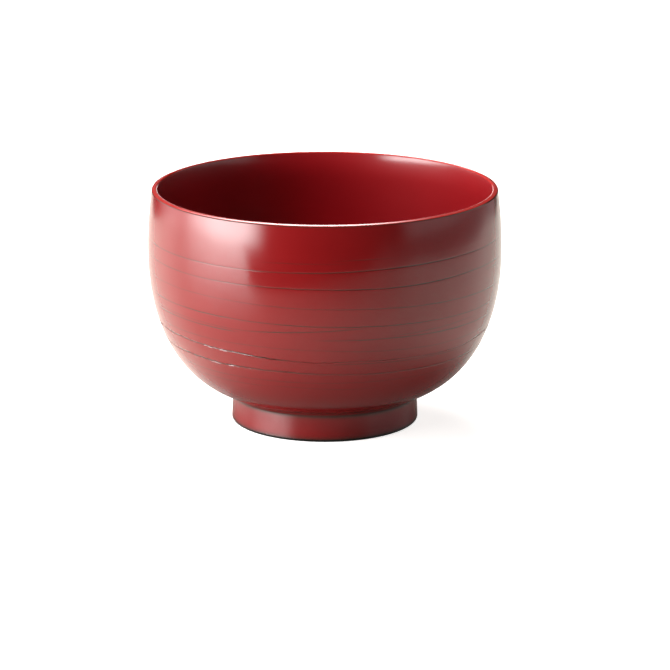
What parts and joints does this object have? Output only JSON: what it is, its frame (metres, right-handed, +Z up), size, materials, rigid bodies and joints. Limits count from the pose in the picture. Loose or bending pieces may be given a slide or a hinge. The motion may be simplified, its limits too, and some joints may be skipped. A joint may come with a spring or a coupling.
{
  "type": "footed lacquer soup bowl",
  "caption": "Deep round soup bowl on a ring foot, red lacquer over a pressed-wood body, with fine turned lines round the outside and a smooth inside.",
  "frame": {"origin": "centre of the circle that the foot stands on", "axes": "+Z up along the axis of turning, X and Y in the plane of the table"},
  "size_m": [0.1076, 0.1076, 0.0724],
  "materials": {
    "pressed_wood": "pressed wood flour and resin, turned, raw",
    "wood_glue": "hardened film of glue",
    "ground_lacquer": "dark brown ground coat, rubbed flat",
    "red_lacquer": "brushed red lacquer, half gloss",
    "black_lacquer": "black lacquer, half gloss"
  },
  "bodies": {
    "root": {"body_core": "pressed_wood", "foot_ring": "pressed_wood", "foot_glue": "wood_glue", "inside_ground_coat": "ground_lacquer", "outside_ground_coat": "ground_lacquer", "body_red_coat": "red_lacquer", "rim_red_coat": "red_lacquer", "inside_red_coat": "red_lacquer", "foot_red_coat": "red_lacquer", "foot_sole_coat": "black_lacquer", "foot_well_coat": "black_lacquer"}
  },
  "joints": []
}
